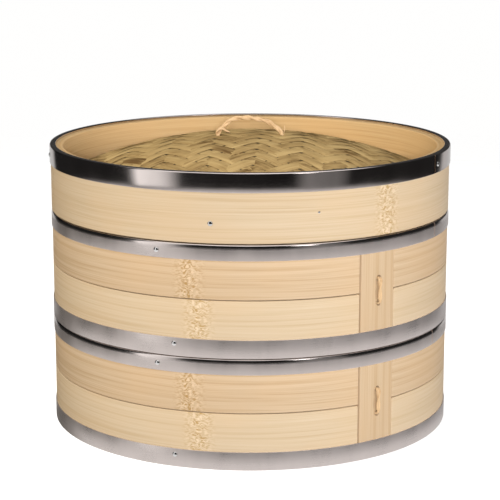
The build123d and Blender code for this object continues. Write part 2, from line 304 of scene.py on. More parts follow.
# ------------------------------------------------------------------ node helpers
class Tree:
    """Short names for adding and joining shader nodes."""

    def __init__(self, name):
        self.material = bpy.data.materials.new(name)
        self.material.use_nodes = True
        self.nodes = self.material.node_tree.nodes
        self.links = self.material.node_tree.links
        self.shader = self.nodes["Principled BSDF"]

    def plug(self, value, socket):
        if isinstance(value, bpy.types.NodeSocket):
            self.links.new(value, socket)
        else:
            socket.default_value = value

    def math(self, operation, a, b=0.0, c=0.0):
        node = self.nodes.new("ShaderNodeMath")
        node.operation = operation
        for value, socket in zip((a, b, c), node.inputs):
            self.plug(value, socket)
        return node.outputs[0]

    def vector(self, x, y, z=0.0):
        node = self.nodes.new("ShaderNodeCombineXYZ")
        for value, socket in zip((x, y, z), node.inputs):
            self.plug(value, socket)
        return node.outputs[0]

    def split(self, vector):
        node = self.nodes.new("ShaderNodeSeparateXYZ")
        self.plug(vector, node.inputs[0])
        return node.outputs

    def noise(self, vector, scale=1.0, detail=2.0, roughness=0.5, distortion=0.0):
        node = self.nodes.new("ShaderNodeTexNoise")
        self.plug(vector, node.inputs["Vector"])
        node.inputs["Scale"].default_value = scale
        node.inputs["Detail"].default_value = detail
        node.inputs["Roughness"].default_value = roughness
        node.inputs["Distortion"].default_value = distortion
        return node.outputs["Fac"]

    def ramp(self, value, stops):
        node = self.nodes.new("ShaderNodeValToRGB")
        self.plug(value, node.inputs[0])
        node.color_ramp.elements[0].position = stops[0][0]
        node.color_ramp.elements[0].color = (*stops[0][1], 1)
        node.color_ramp.elements[1].position = stops[-1][0]
        node.color_ramp.elements[1].color = (*stops[-1][1], 1)
        for position, colour in stops[1:-1]:
            node.color_ramp.elements.new(position).color = (*colour, 1)
        return node.outputs[0]

    def remap(self, value, low, high, to_low=0.0, to_high=1.0):
        node = self.nodes.new("ShaderNodeMapRange")
        for v, socket in zip((value, low, high, to_low, to_high), node.inputs):
            self.plug(v, socket)
        return node.outputs[0]

    def mix(self, factor, a, b, mode="MIX"):
        node = self.nodes.new("ShaderNodeMix")
        node.data_type = "RGBA"
        node.blend_type = mode
        self.plug(factor, node.inputs["Factor"])
        for value, socket in ((a, node.inputs["A"]), (b, node.inputs["B"])):
            colour_sockets = [s for s in node.inputs if s.name == socket.name and s.type == "RGBA"]
            if isinstance(value, tuple):
                value = (*value, 1) if len(value) == 3 else value
            self.plug(value, colour_sockets[0])
        return [s for s in node.outputs if s.type == "RGBA"][0]

    def bump(self, height, strength, distance):
        node = self.nodes.new("ShaderNodeBump")
        node.inputs["Strength"].default_value = strength
        node.inputs["Distance"].default_value = distance
        self.plug(height, node.inputs["Height"])
        self.plug(node.outputs[0], self.shader.inputs["Normal"])

    def tone(self):
        node = self.nodes.new("ShaderNodeAttribute")
        node.attribute_name = "tone"
        return node.outputs["Fac"]

    def grain_map(self):
        """Metres along and across the grain of a piece built here."""
        node = self.nodes.new("ShaderNodeUVMap")
        node.uv_map = "grain"
        return self.split(node.outputs[0])[:2]

    def round_the_wall(self):
        """Metres round and up the wall, from the place of the surface itself."""
        place = self.split(self.nodes.new("ShaderNodeTexCoord").outputs["Object"])
        bearing = self.math("ARCTAN2", place[0], self.math("MULTIPLY", place[1], -1.0))
        radius = self.nodes.new("ShaderNodeVectorMath")
        radius.operation = "LENGTH"
        self.plug(self.vector(place[0], place[1]), radius.inputs[0])
        across = self.math("ADD", place[2], radius.outputs["Value"])
        return self.math("MULTIPLY", bearing, WALL_R * MM), across

    def along_a_bar(self, bearing):
        """Metres along and across straight timber that lies at a bearing."""
        place = self.split(self.nodes.new("ShaderNodeTexCoord").outputs["Object"])
        a = math.radians(bearing)
        forward = self.math("MULTIPLY", place[0], math.sin(a))
        along = self.math("MULTIPLY_ADD", place[1], -math.cos(a), forward)
        sideways = self.math("MULTIPLY", place[0], math.cos(a))
        across = self.math("MULTIPLY_ADD", place[1], math.sin(a), sideways)
        return along, self.math("ADD", across, place[2])


def scaled(colour, factor):
    return tuple(channel * factor for channel in colour)


def bamboo(name, light, dark, where="map", knots=(), figure=1.0, use_tone=0.0, rough=0.5, seed=0.0):
    """Planed bamboo: fine fibres, broader bands, soft blotches and crinkled nodes."""
    t = Tree(name)
    if where == "map":
        along, across = t.grain_map()
    elif where == "wall":
        along, across = t.round_the_wall()
    else:
        along, across = t.along_a_bar(where)
    drift = t.noise(t.vector(t.math("MULTIPLY", along, 7), t.math("MULTIPLY", across, 30), seed))
    across = t.math("MULTIPLY_ADD", drift, 0.0030, across)
    knot = 0.0
    for place in knots:
        offset = t.math("SUBTRACT", along, WALL_R * MM * math.radians(place))
        near = t.remap(t.math("ABSOLUTE", offset), 0.013, 0.002)
        knot = t.math("MAXIMUM", near, knot) if knot else near
    if knots:
        cells = t.vector(t.math("MULTIPLY", along, 150), t.math("MULTIPLY", across, 260), seed)
        crinkle = t.math("SUBTRACT", t.noise(cells, detail=1.5), 0.5)
        push = t.math("MULTIPLY", t.math("MULTIPLY", crinkle, 0.011), knot)
        across = t.math("ADD", across, push)
    fibre_at = t.vector(t.math("MULTIPLY", along, 9), t.math("MULTIPLY", across, 1100), seed)
    band_at = t.vector(t.math("MULTIPLY", along, 3.5), t.math("MULTIPLY", across, 330), seed + 4)
    fibre = t.noise(fibre_at, detail=3, roughness=0.65)
    band = t.noise(band_at, detail=3, roughness=0.6)
    blotch_at = t.vector(t.math("MULTIPLY", along, 16), t.math("MULTIPLY", across, 26), seed + 9)
    blotch = t.noise(blotch_at, detail=2)
    streak = t.math("ADD", t.math("MULTIPLY", fibre, 0.55), t.math("MULTIPLY", band, 0.45))
    spread = 0.11 / figure
    ripple = t.remap(streak, 0.5 - spread, 0.5 + spread)
    mid = tuple((a + b) / 2 for a, b in zip(light, dark))
    colour = t.ramp(ripple, [(0.0, dark), (0.38, mid), (1.0, light)])
    warm = (light[0] * 1.02, light[1] * 0.93, light[2] * 0.82)
    colour = t.mix(t.remap(blotch, 0.40, 0.66, 0.0, 0.40), colour, warm)
    if use_tone:
        shade = t.remap(t.tone(), 0.0, 1.0, 1.0 - use_tone, 1.0 + use_tone)
        colour = t.mix(1.0, colour, t.vector(shade, shade, shade), "MULTIPLY")
    height = streak
    if knots:
        fleck_at = t.vector(t.math("MULTIPLY", along, 330), t.math("MULTIPLY", across, 1050), seed)
        fleck = t.noise(fleck_at, detail=2, distortion=0.5)
        # painted highlight: lighter streaks on the crinkled nodes, mixed into the colour
        shine = t.math("MULTIPLY", t.remap(fleck, 0.49, 0.38), t.math("MULTIPLY", knot, 0.8))
        colour = t.mix(shine, colour, scaled(light, 1.22))
        fleck = t.math("MULTIPLY", t.remap(fleck, 0.52, 0.60), t.math("MULTIPLY", knot, 0.9))
        colour = t.mix(fleck, colour, (dark[0] * 0.80, dark[1] * 0.68, dark[2] * 0.40))
        height = t.math("MULTIPLY_ADD", t.math("MULTIPLY", crinkle, knot), 1.6, streak)
    t.plug(colour, t.shader.inputs["Base Color"])
    t.plug(t.remap(streak, 0.3, 0.7, rough + 0.08, rough - 0.06), t.shader.inputs["Roughness"])
    t.shader.inputs["Specular IOR Level"].default_value = 0.22
    t.bump(height, 0.35, 0.0004)
    return t.material


def steel(name, colour, polished, satin, satin_from=0.0, dull=0.0, grain="map"):
    """Rolled stainless strip: polished part, satin part, lengthwise brushing and smudges."""
    t = Tree(name)
    along, across = t.grain_map() if grain == "map" else t.round_the_wall()
    line_at = t.vector(t.math("MULTIPLY", along, 9), t.math("MULTIPLY", across, 3600))
    line = t.noise(line_at, detail=2, roughness=0.7)
    smudge_at = t.vector(t.math("MULTIPLY", along, 34), t.math("MULTIPLY", across, 14))
    smudge = t.noise(smudge_at, detail=3, roughness=0.55)
    sheen = t.math("MULTIPLY_ADD", line, 0.5, t.math("MULTIPLY", smudge, 0.5))
    uneven = t.remap(sheen, 0.38, 0.62, 0.78, 1.25)
    level = t.remap(across, satin_from, satin_from + 0.002, polished, satin)
    t.plug(t.math("MULTIPLY", uneven, level), t.shader.inputs["Roughness"])
    tint = t.ramp(smudge, [(0.36, scaled(colour, 0.86)), (0.64, colour)])
    t.plug(tint, t.shader.inputs["Base Color"])
    if satin_from:
        metallic = t.remap(across, satin_from, satin_from + 0.002, 1.0, 1.0 - dull)
        t.plug(metallic, t.shader.inputs["Metallic"])
    else:
        t.shader.inputs["Metallic"].default_value = 1.0 - dull
    t.bump(line, 0.06, 0.0001)
    return t.material


def rattan(name, light, dark):
    """Split cane: fine lengthwise fibres and darker patches."""
    t = Tree(name)
    along, across = t.grain_map()
    fibre_at = t.vector(t.math("MULTIPLY", along, 70), t.math("MULTIPLY", across, 1500), t.tone())
    fibre = t.noise(fibre_at, detail=3, roughness=0.6)
    patch_at = t.vector(t.math("MULTIPLY", along, 220), t.math("MULTIPLY", across, 200), t.tone())
    patch = t.noise(patch_at, detail=2)
    level = t.math("MULTIPLY_ADD", fibre, 0.6, t.math("MULTIPLY", patch, 0.4))
    colour = t.ramp(level, [(0.34, dark), (0.50, light), (0.70, scaled(light, 1.08))])
    t.plug(colour, t.shader.inputs["Base Color"])
    t.shader.inputs["Roughness"].default_value = 0.48
    t.bump(level, 0.5, 0.0003)
    return t.material


def woven(name, light, dark, deep):
    """Split bamboo strips of the lid, each with its own tone, streaked along its length."""
    t = Tree(name)
    along, across = t.grain_map()
    tone = t.tone()
    shift = t.math("MULTIPLY", tone, 37)
    fibre_at = t.vector(t.math("MULTIPLY", along, 26), t.math("MULTIPLY", across, 1300), shift)
    fibre = t.noise(fibre_at, detail=3, roughness=0.65)
    patch_at = t.vector(t.math("MULTIPLY", along, 30), t.math("MULTIPLY", across, 120), shift)
    patch = t.noise(patch_at, detail=3, roughness=0.6)
    level = t.math("MULTIPLY_ADD", fibre, 0.45, t.math("MULTIPLY", patch, 0.55))
    level = t.math("ADD", level, t.remap(tone, 0.0, 1.0, -0.09, 0.09))
    colour = t.ramp(level, [(0.34, deep), (0.46, dark), (0.62, light)])
    t.plug(colour, t.shader.inputs["Base Color"])
    t.shader.inputs["Roughness"].default_value = 0.62
    t.shader.inputs["Specular IOR Level"].default_value = 0.0
    t.bump(level, 0.4, 0.0003)
    return t.material


def dry_leaf(name, colour):
    """Dark lining that shows through the gaps of the weave."""
    t = Tree(name)
    place = t.nodes.new("ShaderNodeTexCoord").outputs["Object"]
    vein = t.noise(place, scale=90, detail=4, roughness=0.6)
    t.plug(t.ramp(vein, [(0.35, scaled(colour, 0.55)), (0.65, colour)]), t.shader.inputs["Base Color"])
    t.shader.inputs["Roughness"].default_value = 0.8
    t.bump(vein, 0.3, 0.0003)
    return t.material


# ------------------------------------------------------------------ materials
PALE = (0.545, 0.405, 0.268)
PALE_DARK = (0.435, 0.300, 0.172)
STRAW = (0.555, 0.435, 0.300)
STRAW_DARK = (0.475, 0.352, 0.218)
# brown hidden bamboo: painted shade, darkened to stand for the shade in the gaps, holes and undersides
# where it shows
PAINTED_SHADE_BROWN = (0.300, 0.190, 0.100)
PAINTED_SHADE_BROWN_DARK = (0.220, 0.130, 0.060)
HONEY = (0.560, 0.385, 0.200)
HONEY_DARK = (0.450, 0.285, 0.125)
# golden inside bamboo: partly its own tone, partly painted light, made brighter than the outer bamboo
# to stand in for the light inside the tiers
PAINTED_LIGHT_GOLD = (0.900, 0.625, 0.310)
PAINTED_LIGHT_GOLD_DARK = (0.760, 0.450, 0.180)

BAND_KNOTS = (-16.4 + 360, 112.0, 236.0)
LOWER_KNOTS = (-13.8 + 360, 92.0, 217.0)
LID_KNOTS = (39.4 + 360, 520.0, 282.0)
INSIDE_KNOTS = (495.0, 262.0, 375.0)

wood_upper = bamboo("bamboo_upper_band", PALE, PALE_DARK, knots=BAND_KNOTS, figure=1.15)
wood_lower = bamboo("bamboo_lower_band", STRAW, STRAW_DARK, knots=LOWER_KNOTS, seed=3.0)
wood_strip = bamboo("bamboo_strip", scaled(PALE, 0.94), PALE_DARK, figure=1.1, seed=5.0)
wood_lid = bamboo("bamboo_lid_wall", STRAW, STRAW_DARK, knots=LID_KNOTS, seed=7.0)
# inner walls of the tiers: golden bamboo brightened with painted light
wood_inside_painted_light = bamboo("bamboo_inside", PAINTED_LIGHT_GOLD, PAINTED_LIGHT_GOLD_DARK, knots=INSIDE_KNOTS, figure=0.9, seed=11.0)
wood_lid_inside = bamboo("bamboo_lid_inside", HONEY, HONEY_DARK, figure=0.9, seed=13.0)
wood_slats = bamboo(
    "bamboo_slats", (0.930, 0.690, 0.415), (0.660, 0.430, 0.210), figure=1.1, use_tone=0.12, seed=17.0
)
# hoops behind the wall, floor ring and lid lower ring: bamboo with painted shade
wood_hidden_painted_shade = bamboo("bamboo_hidden_painted_shade", PAINTED_SHADE_BROWN, PAINTED_SHADE_BROWN_DARK, where="wall", seed=19.0)
wood_bars = bamboo("bamboo_bars", PALE, PALE_DARK, where=SLAT_ANGLE + 180, seed=23.0)
STEEL = (0.79, 0.705, 0.675)
steel_collar_strip = steel("steel_collar_strip", STEEL, 0.13, 0.34, 0.0215, 0.13)
steel_lid_strip = steel("steel_lid_strip", STEEL, 0.11, 0.11)
steel_foot = steel("steel_foot", STEEL, 0.32, 0.32, 0.0, 0.15)
steel_nail = steel("steel_nail", (0.90, 0.89, 0.88), 0.07, 0.07, grain="wall")
cane = rattan("rattan_cane", (0.60, 0.41, 0.23), (0.36, 0.20, 0.085))
weave_strips = woven("woven_strips", (0.45, 0.315, 0.140), (0.32, 0.215, 0.090), (0.13, 0.075, 0.030))
leaf_lining = dry_leaf("leaf_lining", (0.10, 0.065, 0.03))


# ------------------------------------------------------------------ tier: wall
def wobble(seed, size, wave):
    """Slow in-and-out unevenness round a ring, in millimetres."""

    def offset(bearing, height=0.0):
        a = math.radians(bearing)
        place = Vector((math.sin(a) * wave, math.cos(a) * wave, height / 40 + seed))
        return size * noise.noise(place)

    return offset


def soft_ends(start, end, corner, edge):
    """Rounds the corners and the upright outer edges at both ends of an open band."""

    def shape(outline):
        low = min(h for r, h in outline)
        high = max(h for r, h in outline)
        outer = max(r for r, h in outline)

        def bend(bearing, radius, height):
            gap = min(bearing - start, end - bearing)
            gap = WALL_R * math.radians(max(gap, 0.0))
            if gap < corner:
                drop = corner - math.sqrt(max(corner**2 - (corner - gap) ** 2, 0.0))
                height = min(max(height, low + drop), high - drop)
            if gap < edge and outer - radius < 1.5:
                radius -= edge - math.sqrt(max(edge**2 - (edge - gap) ** 2, 0.0))
            return radius, height

        return bend

    return shape


def outer_band(prefix, body, base, which, low, high, top_round, material):
    name = prefix + which
    outline = rounded(
        [(BAND_R, low), (WALL_R, low), (WALL_R, high), (BAND_R, high)],
        [0, 0.5, top_round, 0],
    )
    end = STRIP_FROM - STRIP_GAP + 360
    bearings = open_arc(STRIP_TO, end)
    parts = Parts()
    bend = soft_ends(STRIP_TO, end, 1.6 if which == "lower_band" else 0.8, 0.7)(outline)
    turned(parts, outline, bearings, False, bend, base)
    settle(make_object(name + "_wood", parts, material), body, "bamboo_band", name)


def joint_strip(prefix, body, base):
    """Upright strip with two holes; its grain runs upwards."""
    outline = rounded(
        [(BAND_R, 0.0), (WALL_R, 0.0), (WALL_R, WALL_TOP), (BAND_R, WALL_TOP)],
        [0, 0.4, 1.8, 0],
    )
    bearings = open_arc(STRIP_FROM, STRIP_TO, 0.5)
    bend = soft_ends(STRIP_FROM, STRIP_TO, 0.0, 0.6)(outline)
    parts = Parts()
    turned(parts, outline, bearings, False, bend, base)
    parts.grain = [(v, u) for u, v in parts.grain]
    obj = make_object(prefix + "joint_strip_wood", parts, wood_strip)
    for height in (STITCH_LOW, STITCH_HIGH):
        drill(obj, polar(STITCH_AT, WALL_R, base + height), STITCH_HOLE_R)
    settle(obj, body, "bamboo_band", prefix + "joint_strip")


def drill(obj, place, radius):
    """Cut a round hole that points at the axis."""
    bm = bmesh.new()
    bmesh.ops.create_cone(
        bm, cap_ends=True, segments=24, radius1=radius * MM, radius2=radius * MM, depth=12 * MM
    )
    mesh = bpy.data.meshes.new("drill")
    bm.to_mesh(mesh)
    bm.free()
    cutter = bpy.data.objects.new("drill", mesh)
    bpy.context.scene.collection.objects.link(cutter)
    outwards = Vector((place[0], place[1], 0))
    cutter.rotation_mode = "QUATERNION"
    cutter.rotation_quaternion = outwards.to_track_quat("Z", "Y")
    cutter.location = Vector(place) * MM
    cut = obj.modifiers.new("hole", "BOOLEAN")
    cut.operation = "DIFFERENCE"
    cut.object = cutter
    bpy.context.view_layer.update()
    depsgraph = bpy.context.evaluated_depsgraph_get()
    result = bpy.data.meshes.new_from_object(obj.evaluated_get(depsgraph))
    obj.modifiers.clear()
    obj.data = result
    bpy.data.objects.remove(cutter)


def inner_hoop(prefix, body, base):
    outline = rounded(
        [
            (INNER_R, HOOP_FOOT),
            (MIDDLE_R, HOOP_FOOT),
            (MIDDLE_R, RIM_TOP - SHEET),
            (INNER_R, RIM_TOP - SHEET),
        ],
        [0.8, 0, 0, 0.8],
    )
    parts = Parts()
    turned(parts, outline, full_circle(), True, None, base)
    name = prefix + "inner_hoop"
    settle(make_object(name + "_wood", parts, wood_inside_painted_light), body, "bamboo_inside", name)


# ------------------------------------------------------------------ tier: steel
def steel_collar(prefix, body, base, seed):
    """Rolled strip: lip, rim, step, ledge, shoulder and skirt, slightly uneven like real sheet."""
    rim_r = MIDDLE_R + SHEET
    skirt_r = FLANGE_R - SHEET
    corners = [
        (rim_r - 1.4, RIM_TOP),
        (rim_r, RIM_TOP),
        (rim_r, STEP_TOP),
        (STEP_R, STEP_TOP),
        (STEP_R, LEDGE),
        (FLANGE_R, LEDGE),
        (FLANGE_R, COLLAR_FOOT),
        (skirt_r, COLLAR_FOOT),
        (skirt_r, WALL_TOP),
        (STEP_R - SHEET, WALL_TOP),
        (STEP_R - SHEET, STEP_TOP - SHEET),
        (MIDDLE_R, STEP_TOP - SHEET),
        (MIDDLE_R, RIM_TOP - SHEET),
        (rim_r - 1.4, RIM_TOP - SHEET),
    ]
    radii = [0.2, 0.5, 0.7, 0.7, 0.6, 2.4, 0.2, 0.2, 1.8, 0, 0, 0, 0, 0.2]
    outline = rounded(corners, radii, 5)
    uneven = wobble(seed, 0.16, 2.6)
    fine = wobble(seed + 7, 0.05, 9.0)

    def bend(bearing, radius, height):
        return radius - abs(uneven(bearing, height)) - abs(fine(bearing, height)), height

    parts = Parts()
    slit = math.degrees(HALF_SLIT / FLANGE_R)
    bearings = open_arc(COLLAR_SEAM + slit, COLLAR_SEAM + 360 - slit, 1.25, (0.0, 0.2))
    turned(parts, outline, bearings, False, bend, base)
    name = prefix + "steel_collar"
    settle(make_object(name + "_sheet", parts, steel_collar_strip, 50), body, "steel", name)


def steel_base_band(prefix, body, base, seed):
    outer = WALL_R + SHEET
    outline = rounded(
        [(WALL_R, 0.0), (outer, 0.0), (outer, BASE_BAND_TOP), (WALL_R, BASE_BAND_TOP)],
        [0, 0.2, 0.2, 0],
    )
    uneven = wobble(seed, 0.10, 3.0)

    def bend(bearing, radius, height):
        return radius - (abs(uneven(bearing, height)) if radius > WALL_R + 0.3 else 0), height

    parts = Parts()
    slit = math.degrees(HALF_SLIT / FLANGE_R)
    bearings = open_arc(BASE_SEAM + slit, BASE_SEAM + 360 - slit, 1.25, (0.0, 0.2))
    turned(parts, outline, bearings, False, bend, base)
    name = prefix + "steel_base_band"
    settle(make_object(name + "_sheet", parts, steel_foot, 50), body, "steel", name)


# ------------------------------------------------------------------ nails
def nails(node, body, slot_name, sizes, bearings, radius, height, facing=1):
    """Domed heads on the wall with their shanks; facing -1 turns the heads to the inside."""
    parts = Parts()
    for head_r, head_h, shank_r, shank_l, places, up in sizes_at(sizes, bearings, height):
        profile = [(shank_r, -shank_l), (shank_r, 0.0), (head_r, 0.0)]
        for k in range(1, 7):
            a = math.radians(14 * k)
            profile.append((head_r * math.cos(a), head_h * math.sin(a)))
        for bearing in places:
            out = Vector(polar(bearing, 1.0, 0.0)) * facing
            side = Vector((-out.y, out.x, 0.0))
            foot = Vector(polar(bearing, radius, up))
            loops = []
            for ring_r, ring_h in profile:
                loop = []
                for k in range(20):
                    a = math.radians(18 * k)
                    flat = side * math.cos(a) * ring_r + Vector((0, 0, math.sin(a) * ring_r))
                    loop.append(foot + out * ring_h + flat)
                loops.append(loop)
            parts.loft(loops, list(range(len(profile))), list(range(21)), False)
    settle(make_object(node + "_heads", parts, steel_nail, 60), body, slot_name, node)


def sizes_at(sizes, bearings, height):
    """Lists of nails given alone or as several groups, always as several groups."""
    if isinstance(height, tuple):
        return [(*size, where, up) for size, where, up in zip(sizes, bearings, height)]
    return [(*sizes, bearings, height)]


# ------------------------------------------------------------------ tier: floor
def floor_slats(prefix, body, base, seed):
    """Crowned slats, each with its own tone and small ridges where its nodes are."""
    rng = random.Random(seed)
    parts = Parts()
    a = math.radians(SLAT_ANGLE)
    along_axis = Vector((math.cos(a), math.sin(a), 0))
    across_axis = Vector((-math.sin(a), math.cos(a), 0))
    profile = [(-1, 0.0), (-1, 0.30), (-0.93, 0.55), (-0.72, 0.80), (-0.38, 0.95), (0, 1.0)]
    profile += [(-t, h) for t, h in reversed(profile[:-1])]
    for n in range(-SLATS_EACH_SIDE, SLATS_EACH_SIDE + 1):
        centre = n * SLAT_PITCH
        half_w = SLAT_W / 2 * rng.uniform(0.94, 1.03)
        tone = (0.78 if n % 2 else 0.22) + rng.uniform(-0.2, 0.2)
        ridges = [rng.uniform(-120, 0), rng.uniform(0, 120)]
        lean = rng.uniform(-0.10, 0.10)
        stations = [i / 60 for i in range(61)]
        loops = []
        for s in stations:
            loop = []
            for t, h in profile:
                y = centre + t * half_w
                reach = math.sqrt(max(FLOOR_R**2 - y**2, 0.0))
                y = max(-FLOOR_R, min(FLOOR_R, y))
                x = (2 * s - 1) * reach
                bump = sum(math.exp(-(((x - r) / 1.6) ** 2)) for r in ridges)
                slope = sum(1 / (1 + math.exp((x - r) / 2.5)) for r in ridges) * 0.10
                top = SLAT_T * (h - 0.10 + lean * t * (h > 0) + (0.10 * bump - slope) * (h > 0.2))
                top = max(0.0, min(SLAT_T, top)) if h > 0 else 0.0
                place = along_axis * x + across_axis * y
                loop.append((place.x, place.y, base + FLOOR_TOP - SLAT_T + top))
            loops.append(loop)
        length = 2 * math.sqrt(max(FLOOR_R**2 - centre**2, 100.0))
        shift = rng.uniform(0, 500)
        along = [shift + s * length for s in stations]
        section = [(t * half_w, h * SLAT_T) for t, h in profile]
        around = [n * 40 + v for v in running_length(section, True)]
        parts.loft(loops, along, around, False, tone)
    name = prefix + "floor_slats"
    settle(make_object(name + "_wood", parts, wood_slats, 40), body, "bamboo_slats", name)


# ------------------------------------------------------------------ rattan
def resampled(points, spacing):
    """Even points along a closed chain."""
    lengths = running_length(points, closed=True)
    chain = [Vector(p) for p in points] + [Vector(points[0])]
    count = int(lengths[-1] / spacing)
    result = []
    k = 0
    for i in range(count):
        target = lengths[-1] * i / count
        while lengths[k + 1] < target:
            k += 1
        t = (target - lengths[k]) / (lengths[k + 1] - lengths[k])
        result.append(chain[k].lerp(chain[k + 1], t))
    return result


def twisted_loop(parts, outline, spacing, strand_r, lay, turns, to_space, phase=0.0):
    """Two strands twisted round a closed plane outline; lay is their reach in and across it."""
    line = resampled(outline, spacing)
    count = len(line)
    for strand in (0, 1):
        centres = []
        for i, here in enumerate(line):
            tangent = (line[(i + 1) % count] - line[i - 1]).normalized()
            normal = Vector((-tangent.y, tangent.x))
            angle = 2 * math.pi * turns * i / count + strand * math.pi + phase
            flat = here + normal * lay[0] * math.sin(angle)
            centres.append(to_space(flat.x, flat.y, lay[1] * math.cos(angle)))
        tube(parts, centres, strand_r, True, 12, tone=0.3 + 0.5 * strand)


def rattan_stitch(prefix, body, base):
    outline = rounded(
        [
            (STITCH_IN_R, STITCH_LOW),
            (STITCH_OUT_R, STITCH_LOW),
            (STITCH_OUT_R, STITCH_HIGH),
            (STITCH_IN_R, STITCH_HIGH),
        ],
        [2.0] * 4,
        6,
    )
    a = math.radians(STITCH_AT)
    outwards = Vector((math.sin(a), -math.cos(a), 0))
    sideways = Vector((math.cos(a), math.sin(a), 0))

    def to_space(radius, height, side):
        return outwards * radius + sideways * side + Vector((0, 0, base + height))

    parts = Parts()
    twisted_loop(parts, outline, 0.6, 0.95, (0.36, 0.82), 2.5, to_space, math.radians(70))
    name = prefix + "rattan_stitch"
    settle(make_object(name + "_cane", parts, cane, 60), body, "rattan", name)


# ------------------------------------------------------------------ lid
def dome_height(x, y, radius=DOME_R):
    return DOME_CENTRE + math.sqrt(radius**2 - x**2 - y**2)


def woven_dome(node, top_radius, base, seed):
    """Two sets of strips in a two-over two-under twill, laid on the dome."""
    rng = random.Random(seed)
    parts = Parts()
    middle = WEAVE_T / 2
    swing = 0.33
    thick = 0.42
    count = int(2 * WEAVE_EDGE_R / WEAVE_PITCH / 2)
    for which in (0, 1):
        turn = math.radians(WEAVE_ANGLE + 90 * which)
        run = Vector((math.cos(turn), math.sin(turn)))
        side = Vector((-run.y, run.x))
        for n in range(-count, count + 1):
            centre = n * WEAVE_PITCH + rng.uniform(-0.35, 0.35)
            reach_sq = WEAVE_EDGE_R**2 - (abs(centre) + WEAVE_STRIP_W / 2) ** 2
            if reach_sq < 100:
                continue
            reach = math.sqrt(reach_sq)
            half = WEAVE_STRIP_W / 2 * rng.uniform(0.92, 1.04)
            tone = min(1, max(0, rng.gauss(0.5, 0.25)))
            steps = max(8, int(2 * reach / WEAVE_PITCH * 5))
            phase = rng.uniform(0, 10)
            tilt = rng.uniform(-0.12, 0.12)
            loops = []
            places = []
            for i in range(steps + 1):
                s = -reach + 2 * reach * i / steps
                places.append(s)
                cell = s / WEAVE_PITCH
                cycle = cell + (n if which else 2 - n)
                over = math.tanh(2.4 * math.sin(math.pi / 2 * (cycle - 0.5)))
                loop = []
                for t, h in ((-1, 0.0), (-0.9, 0.5), (0, 0.62), (0.9, 0.5), (1, 0.0), (0, -0.5)):
                    x, y = run * s + side * (centre + t * half)
                    flutter = 0.10 * noise.noise(Vector((x / 9, y / 9, phase)))
                    lift = swing * over + thick * h + tilt * t + flutter
                    lift = max(-middle + 0.02, min(middle - 0.02, lift))
                    radius = top_radius - middle + lift
                    loop.append((x, y, base + dome_height(x, y, radius)))
                loops.append(loop)
            shift = rng.uniform(0, 400)
            along = [shift + s for s in places]
            around = [n * 30 + t for t in (0, half, 2 * half, 2 * half + 1, 0, -half, 0)]
            parts.loft(loops, along, around, False, tone)
    obj = make_object(node + "_strips", parts, weave_strips, 60)
    settle(obj, "lid", "woven_bamboo", node)


def lid_wall(base):
    outer = rounded(
        [
            (LID_SPLIT_R, 0.0),
            (LID_WALL_R, 0.0),
            (LID_WALL_R, LID_H - SHEET - 0.1),
            (LID_SPLIT_R, LID_H - SHEET - 0.1),
        ],
        [0, 0.9, 0, 0],
    )
    inner = rounded(
        [
            (BACKING_R, 0.0),
            (LID_SPLIT_R, 0.0),
            (LID_SPLIT_R, LID_INNER_TOP),
            (BACKING_R, LID_INNER_TOP),
        ],
        [0.6, 0, 0, 0.2],
    )
    parts = Parts()
    turned(parts, outer, full_circle(), True, None, base)
    obj = make_object("lid_outer_hoop_wood", parts, wood_lid)
    settle(obj, "lid", "bamboo_band", "lid_outer_hoop")
    parts = Parts()
    turned(parts, inner, full_circle(), True, None, base)
    obj = make_object("lid_inner_hoop_wood", parts, wood_lid_inside)
    settle(obj, "lid", "bamboo_inside", "lid_inner_hoop")


def lid_upper_ring(base):
    foot_in = DOME_CENTRE + math.sqrt(DOME_R**2 - CLAMP_R**2)
    foot_out = DOME_CENTRE + math.sqrt(DOME_R**2 - BACKING_R**2)
    outline = rounded(
        [
            (CLAMP_R, foot_in),
            (BACKING_R, foot_out),
            (BACKING_R, LID_INNER_TOP),
            (CLAMP_R, LID_INNER_TOP),
        ],
        [0.3, 0, 0.2, 0.9],
    )
    parts = Parts()
    turned(parts, outline, full_circle(), True, None, base)
    obj = make_object("lid_upper_ring_wood", parts, wood_lid_inside)
    settle(obj, "lid", "bamboo_inside", "lid_upper_ring")


def lid_steel_band(base):
    corners = [
        (LID_R, LID_BAND_FOOT),
        (LID_R, LID_H),
        (LID_SPLIT_R - SHEET, LID_H),
        (LID_SPLIT_R - SHEET, LID_H - LID_HEM),
        (LID_SPLIT_R, LID_H - LID_HEM),
        (LID_SPLIT_R, LID_H - SHEET),
        (LID_R - SHEET, LID_H - SHEET),
        (LID_R - SHEET, LID_BAND_FOOT),
    ]
    outline = rounded(corners, [0.2, 1.2, 0.5, 0.1, 0, 0, 0, 0.1], 5)
    uneven = wobble(31.0, 0.14, 2.4)
    fine = wobble(47.0, 0.05, 9.0)

    def bend(bearing, radius, height):
        return radius - abs(uneven(bearing, height)) - abs(fine(bearing, height)), height

    parts = Parts()
    slit = math.degrees(HALF_SLIT / LID_R)
    bearings = open_arc(LID_SEAM + slit, LID_SEAM + 360 - slit, 1.25, (0.0, 0.2))
    turned(parts, outline, bearings, False, bend, base)
    obj = make_object("lid_steel_band_sheet", parts, steel_lid_strip, 50)
    settle(obj, "lid", "steel", "lid_steel_band")


